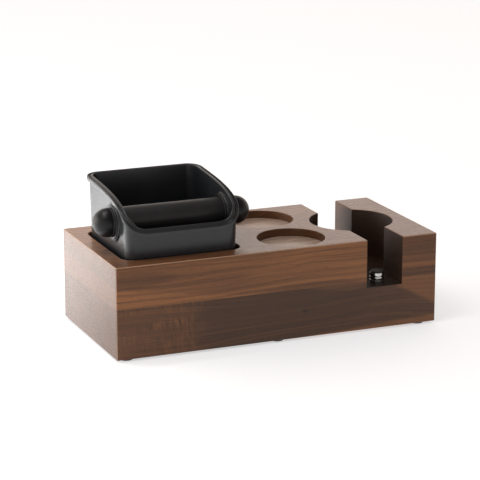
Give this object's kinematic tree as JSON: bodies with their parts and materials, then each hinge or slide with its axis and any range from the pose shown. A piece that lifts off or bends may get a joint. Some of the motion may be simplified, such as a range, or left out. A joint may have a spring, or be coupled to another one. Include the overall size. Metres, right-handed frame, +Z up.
{
  "type": "espresso tamping station",
  "caption": "Walnut coffee station block with a lift-out knock box and bar, two round tool seats, and a slotted portafilter cradle with a screw rest.",
  "frame": {"origin": "on the surface that the feet stand on, under the middle of the block", "axes": "+X along the block from the knock box to the portafilter cradle, +Y from front to back, +Z up"},
  "size_m": [0.3014, 0.141, 0.1367],
  "materials": {
    "walnut": "oiled satin walnut with open grain",
    "black_rubber": "matt",
    "grey_rubber": "matt",
    "bar_rubber": "satin moulded rubber",
    "black_abs": "satin moulded ABS",
    "black_nylon": "satin",
    "zinc_steel": "bright zinc plated",
    "polished_steel": "polished stainless",
    "brass": "turned"
  },
  "bodies": {
    "block": {"lower_board": "walnut", "upper_board": "walnut", "cradle_tower": "walnut", "rubber_feet": "black_rubber", "foot_washers": "zinc_steel", "foot_screws": "zinc_steel", "rest_insert": "brass"},
    "bin": {"knock_bin": "black_abs", "bin_pads": "black_rubber", "left_bush": "black_nylon", "right_bush": "black_nylon"},
    "bar_core": {"bar_rod": "zinc_steel"},
    "bar": {"bar_sleeve": "bar_rubber", "left_end_cap": "bar_rubber", "right_end_cap": "bar_rubber", "left_cap_stud": "zinc_steel", "right_cap_stud": "zinc_steel"},
    "rest_carrier": {"rest_pad": "grey_rubber"},
    "rest_screw": {"rest_cap": "polished_steel", "rest_stud": "polished_steel"},
    "rest_lock": {"rest_lock_nut": "polished_steel"}
  },
  "joints": [
    {"name": "bin_lift", "type": "slide", "parent": "block", "child": "bin", "axis": [0, 0, 1], "range_m": [0, 0.11]},
    {"name": "bar_pull", "type": "slide", "parent": "bin", "child": "bar_core", "axis": [1, 0, 0], "range_m": [-0.004, 0.125]},
    {"name": "bar_turn", "type": "hinge", "parent": "bar_core", "child": "bar", "pos_m": [-0.08, -0.0175, 0.1085], "axis": [1, 0, 0], "continuous": true},
    {"name": "rest_raise", "type": "slide", "parent": "block", "child": "rest_carrier", "axis": [0, 0, 1], "range_m": [0, 0.01]},
    {"name": "rest_turn", "type": "hinge", "parent": "rest_carrier", "child": "rest_screw", "pos_m": [0.0995, -0.0545, 0.04], "axis": [0, 0, 1], "range_deg": [0, 3600]},
    {"name": "rest_lock_turn", "type": "hinge", "parent": "block", "child": "rest_lock", "pos_m": [0.0995, -0.0545, 0.04], "axis": [0, 0, 1], "range_deg": [0, 270]}
  ],
  "couplings": [
    {"joint": "rest_turn", "follows": "rest_raise", "rad_per_m": 6283.2}
  ]
}
